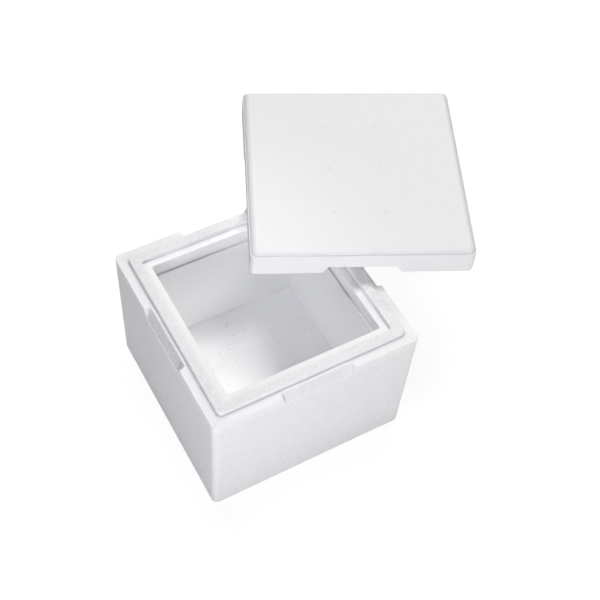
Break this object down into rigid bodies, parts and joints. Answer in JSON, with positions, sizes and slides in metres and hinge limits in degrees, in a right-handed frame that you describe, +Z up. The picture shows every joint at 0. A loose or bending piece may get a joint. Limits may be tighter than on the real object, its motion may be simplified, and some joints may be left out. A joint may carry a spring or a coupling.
{
  "type": "insulated box",
  "caption": "Square insulated box of white expanded polystyrene foam with a thick-walled well, a raised rim tongue, finger scoops and a grooved lift-off lid lying askew on the rim.",
  "frame": {"origin": "middle of the body's underside, on the surface that it stands on", "axes": "+Z up; +X along the front towards the right, with the front of the body facing -Y"},
  "size_m": [0.5393, 0.4478, 0.2707],
  "materials": {
    "body_foam": "matt moulded bead foam",
    "lid_foam": "matt moulded bead foam"
  },
  "bodies": {
    "box": {"body": "body_foam"},
    "lid": {"lid": "lid_foam"}
  },
  "joints": [
    {"name": "lid_lift", "type": "slide", "parent": "box", "child": "lid", "axis": [0, 0, 1], "range_m": [0, 0.25]}
  ]
}
